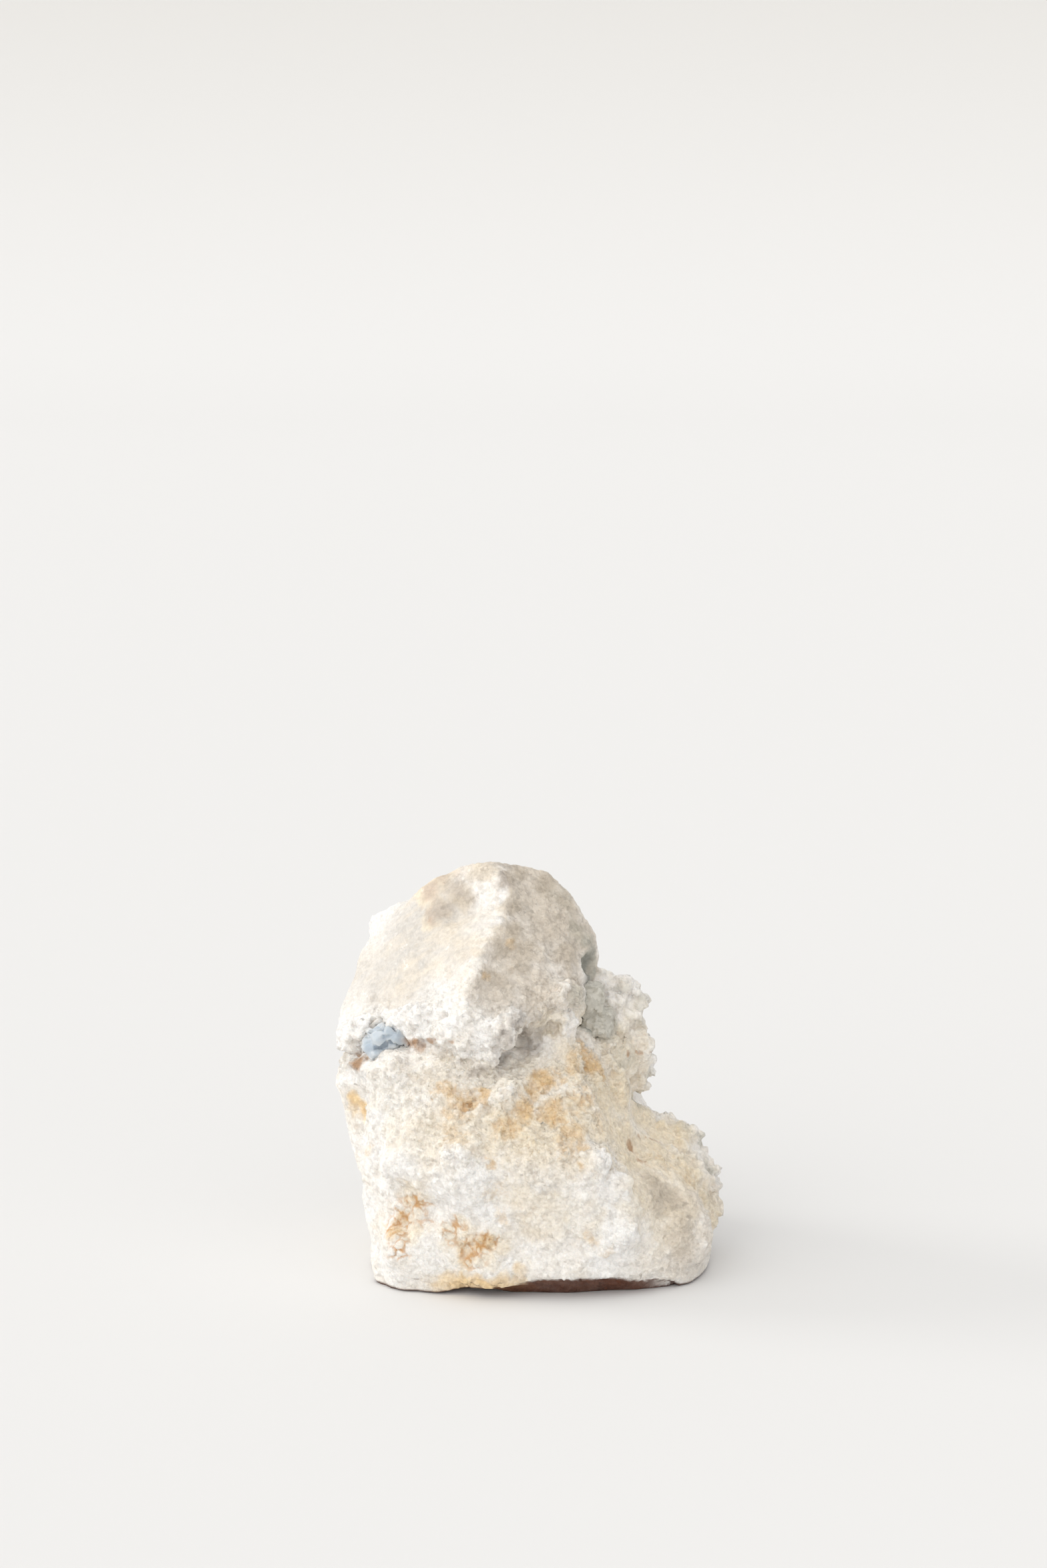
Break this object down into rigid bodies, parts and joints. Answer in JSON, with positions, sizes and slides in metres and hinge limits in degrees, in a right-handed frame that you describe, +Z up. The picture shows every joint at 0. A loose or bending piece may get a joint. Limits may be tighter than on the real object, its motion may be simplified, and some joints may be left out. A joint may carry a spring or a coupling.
{
  "type": "mineral specimen",
  "caption": "White granular mineral hand specimen, boot shaped, with a cleft of pale blue crystals, a shaded crusted recess and a flat underside.",
  "frame": {"origin": "bottom centre of the specimen's bounding box, on the surface it rests on", "axes": "+Z up, -Y towards the side shown in the picture, +X to the right of that view"},
  "size_m": [0.0726, 0.0628, 0.0751],
  "materials": {
    "white_granular_mineral": "sugary broken surface, matte with small glints, ochre and rust stains",
    "pale_blue_crystal": "glossy, slightly see-through crystal faces",
    "grey_green_crust": "fine crystal crust, satin"
  },
  "bodies": {
    "root": {"matrix": "white_granular_mineral", "pocket_crystals": "pale_blue_crystal", "recess_crust": "grey_green_crust"}
  },
  "joints": []
}
